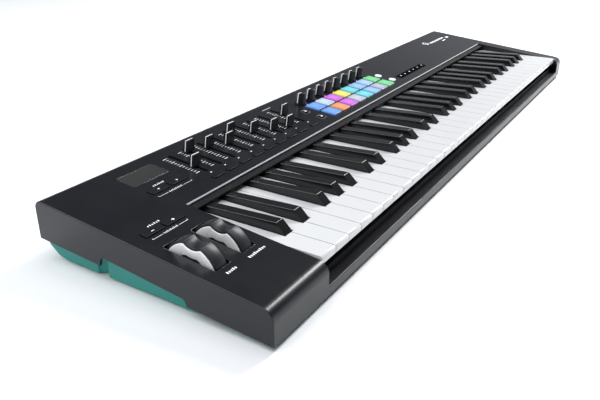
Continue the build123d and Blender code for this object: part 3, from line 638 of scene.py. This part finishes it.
# an oval in front of each fader slot and each knob
for node in caps:
    low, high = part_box(node)
    x = (low.x + high.x) / 2 / MM
    at = panel((x + 0.5) * MM, (slot_front - 4.7) * MM)
    slab(prints, at, disc(0.75, 16, (0, 0), 1.6), SUNK, PRINTED)
for at in knob_places:
    slab(prints, panel(at.x + 4.5 * MM, at.y - 7.8 * MM), disc(0.9, 16, (0, 0), 1.3), SUNK, PRINTED)
# a bracket with strokes in it in front of each pair of small buttons, and strokes behind the pair
for node, reach, drop in (("octave_buttons", 2.0, 9.2), ("track_buttons", 0.8, 10.4)):
    low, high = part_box(node)
    row = spot(node).y / MM
    y = row - drop
    left, right = low.x / MM + reach, high.x / MM - reach
    third = (right - left) * 0.27
    dash(prints, (left, y), (left + third, y), FINE)
    dash(prints, (right - third, y), (right, y), FINE)
    dash(prints, (left, y), (left, y + 1.6), FINE)
    dash(prints, (right, y), (right, y + 1.6), FINE)
    for k in range(9):
        x = left + (right - left) * (0.32 + 0.045 * k)
        dash(prints, (x, y - 0.9), (x, y + (0.9 if k % 2 else 1.5)), 0.9)
    for k in range(6):
        x = left + 12.0 + 2.6 * k
        dash(prints, (x, row + 7.2), (x, row + (9.6 if k % 2 else 9.0)), 1.3)
# strokes in front of the wheels
for node, count in WHEEL_STROKES.items():
    low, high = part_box(node)
    for k in range(count):
        x = (low.x + high.x) / 2 / MM + (k - (count - 1) / 2) * 2.5
        dash(prints, (x, WHEEL_STROKE_FOOT), (x, -72.0 if k % 3 else -71.4), 1.5)
# outlined squares round the two small buttons beside the pads
low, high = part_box("scene_buttons")
for row in ROWS:
    at = panel((low.x + high.x) / 2, spot(row).y)
    lip(prints, at, rounded(9.8, 9.8, 1.6), rounded(10.4, 10.4, 1.9), 0.06, 1, PANEL_AXES, 0.02, 2)
# a plain ring with a dot, and strokes, at the far end
emblem = panel(EMBLEM[0] * MM, EMBLEM[1] * MM)
lip(prints, emblem, disc(3.9, 28), disc(6.6, 28), 0.07, 0, PANEL_AXES, 0.02, 2)
slab(prints, emblem, disc(1.6, 20), SUNK, 0.07)
for k in range(NAME_STROKES):
    x = NAME_START + NAME_PITCH * k
    dash(prints, (x, NAME_ROW), (x + 4.0, NAME_ROW), 4.6 if k % 3 else 5.8)
dash(prints, (412.0, 79.0), (428.0, 79.0), 2.4)
dash(prints, (443.0, 84.0), (454.0, 84.0), 5.0)
# a grey stroke behind the faders
dash(prints, (-150.5, 108.5), (-132.5, 108.5), 1.3, 1)
prints.done("panel_prints", "case", [white_print, grey_print], "black_case")
ticks.done("fader_scales", "case", [white_print, grey_print], "black_case")

# ---------------------------------------------------------------- marks on the buttons
TRIANGLE = [(1.3, 0.0), (-0.9, 1.25), (-0.9, -1.25)]
MINUS = rounded(3.4, 1.0, 0.3, 2)
RAISED = 0.05


def mark_on(shape, at, outline, top, raised=RAISED):
    """A thin print on a button whose top is that far above the panel."""
    slab(shape, at, outline, top + SUNK, top + raised)


for node in ("octave_buttons", "track_buttons"):
    shape = Shape()
    top = crown(node) / MM
    left, right = places_of(node)
    if node == "octave_buttons":
        mark_on(shape, left, MINUS, top)
        mark_on(shape, right, MINUS, top)
        mark_on(shape, right, rounded(1.0, 3.0, 0.3, 2), top, 0.06)
    else:
        mark_on(shape, left, [(-x, -y) for x, y in TRIANGLE], top)
        mark_on(shape, right, TRIANGLE, top)
    shape.done("marks_" + node, node, [white_print], "button_black")

shape = Shape()
top = crown("scene_buttons") / MM
low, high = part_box("scene_buttons")
for row in ROWS:
    at = panel((low.x + high.x) / 2, spot(row).y)
    mark_on(shape, at, [(x * 1.7, y * 1.7) for x, y in TRIANGLE], top)
shape.done("marks_scene_buttons", "scene_buttons", [white_print], "lit_button")

low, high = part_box("transport_buttons")
row = spot("transport_buttons").y
top = crown("transport_buttons") / MM
TRANSPORT_KEY = 14.6
ICONS = (
    [[(-1.6, 0), (0.2, 1.3), (0.2, -1.3)], [(0.0, 0), (1.8, 1.3), (1.8, -1.3)]],
    [[(1.6, 0), (-0.2, 1.3), (-0.2, -1.3)], [(0.0, 0), (-1.8, 1.3), (-1.8, -1.3)]],
    [rounded(2.4, 2.4, 0.3, 2)],
    [[(1.5, 0.0), (-1.0, 1.4), (-1.0, -1.4)]],
    [rounded(3.4, 0.7, 0.2, 2, (0, 0.9)), rounded(3.4, 0.7, 0.2, 2, (0, -0.9))],
    [disc(1.3, 18)],
)
step = ((high.x - low.x) / MM - TRANSPORT_KEY) / (len(ICONS) - 1)
shape = Shape()
bezel = Shape()
inner = rounded(TRANSPORT_KEY + 1.0, 10.0, 1.6)
outer = rounded(TRANSPORT_KEY + 2.0, 12.6, 1.8)
for i, drawing in enumerate(ICONS):
    at = panel(low.x + (TRANSPORT_KEY / 2 + step * i) * MM, row)
    for outline in drawing:
        mark_on(shape, at, anticlockwise(outline), top)
    lip(bezel, at, inner, outer, 0.05)
shape.done("marks_transport", "transport_buttons", [white_print], "button_black")
bezel.done("transport_bezel", "case", [black_and_painted_shade], "black_case")

# ---------------------------------------------------------------- display frame
edge = Shape()
lip(edge, spot("display_window"), rounded(46.9, 23.9, 1.5), rounded(48.2, 25.2, 2.1), 0.12)
edge.done("display_edge", "case", [edge_black], "black_case")

# ---------------------------------------------------------------- softened edges of the keys
for name in frame["nodes"]:
    if name.startswith("keys_") and not name.endswith("_sharp"):
        node = frame["nodes"][name]
        weld = node.modifiers.new("join", "WELD")
        weld.merge_threshold = 1e-6
        soft = node.modifiers.new("soften", "BEVEL")
        soft.width = 0.35 * MM
        soft.segments = 2
        soft.limit_method = "ANGLE"
        soft.angle_limit = math.radians(40)
        soft.harden_normals = True

# ---------------------------------------------------------------- floor
FLOOR_LEFT, FLOOR_WIDTH, FLOOR_COLUMNS = -8.0, 18.0, 24
FLOOR_FRONT, FLOOR_DEPTH, FLOOR_ROWS = -7.0, 16.0, 40
CURVE_START = 5.0


def floor():
    """A broad pale table top that curves up far behind the object. Sizes are metres."""
    shape = Shape()
    across = [FLOOR_LEFT + FLOOR_WIDTH * k / FLOOR_COLUMNS for k in range(FLOOR_COLUMNS + 1)]
    rows = []
    for k in range(FLOOR_ROWS + 1):
        y = FLOOR_FRONT + FLOOR_DEPTH * k / FLOOR_ROWS
        z = 0.16 * max(0.0, y - CURVE_START) ** 2
        rows.append(shape.ring([Vector((x, y, z)) for x in across]))
    for one, two in zip(rows, rows[1:]):
        shape.band(one, two, 0, False)
    mesh = bpy.data.meshes.new("floor")
    mesh.from_pydata([tuple(p) for p in shape.points], [], shape.faces)
    piece = bpy.data.objects.new("floor", mesh)
    bpy.context.scene.collection.objects.link(piece)
    pale = finish("pale_floor", (0.90, 0.905, 0.915), 0.75, patch=900.0, grain=8.0, shade=0.004)
    mesh.materials.append(pale)


floor()

# ---------------------------------------------------------------- light
world = bpy.data.worlds.new("studio")
bpy.context.scene.world = world
world.use_nodes = True
tree = world.node_tree
back = tree.nodes["Background"]
direction = tree.nodes.new("ShaderNodeTexCoord")
split = tree.nodes.new("ShaderNodeSeparateXYZ")
ramp = tree.nodes.new("ShaderNodeValToRGB")
tree.links.new(direction.outputs["Generated"], split.inputs["Vector"])
tree.links.new(split.outputs["Z"], ramp.inputs["Fac"])
tree.links.new(ramp.outputs["Color"], back.inputs["Color"])
# pale below and high above, dark round the sides, so that the black case has something dark to mirror
STOPS = ((0.0, 0.95), (0.15, 0.80), (0.25, 0.25), (0.34, 0.09), (0.78, 0.08), (0.87, 1.6), (1.0, 2.3))
for position, _ in STOPS[1:-1]:
    ramp.color_ramp.elements.new(position)
for element, (_, level) in zip(ramp.color_ramp.elements, STOPS):
    element.color = (level * 0.93, level * 0.965, level, 1)
back.inputs["Strength"].default_value = 1.0


def panel_light(name, at, target, size, power, colour=(1, 1, 1)):
    """A rectangular lamp that faces its target."""
    data = bpy.data.lights.new(name, "AREA")
    data.shape = "RECTANGLE"
    data.size, data.size_y = size
    data.energy = power
    data.color = colour
    lamp = bpy.data.objects.new(name, data)
    bpy.context.scene.collection.objects.link(lamp)
    lamp.location = at
    lamp.rotation_euler = (Vector(target) - Vector(at)).to_track_quat("-Z", "Y").to_euler()


panel_light("right_front", (1.60, -0.34, 1.50), (0.0, -0.10, 0.05), (0.5, 1.2), 50.0)
panel_light("left_back", (-0.95, 1.05, 1.30), (0.0, 0.0, 0.03), (1.0, 0.6), 11.0, (0.93, 0.96, 1.0))
panel_light("left_fill", (-1.55, 0.05, 0.90), (-0.3, 0.0, 0.05), (1.0, 0.9), 6.0)

# ---------------------------------------------------------------- camera
# fitted to the photo's view of the key fronts and the case edges
optics = bpy.data.cameras.new("camera")
camera = bpy.data.objects.new("camera", optics)
bpy.context.scene.collection.objects.link(camera)
camera.location = (-0.7902, -0.3410, 0.3019)
camera.rotation_euler = (math.radians(65.417), 0.0, math.radians(-57.61))
optics.sensor_width = 36.0
optics.lens = 38.5
optics.shift_x = 0.0143
optics.shift_y = -0.0117
optics.clip_start = 0.01
optics.clip_end = 60.0
bpy.context.scene.camera = camera
bpy.context.scene.view_settings.view_transform = "Standard"
bpy.context.scene.view_settings.look = "None"
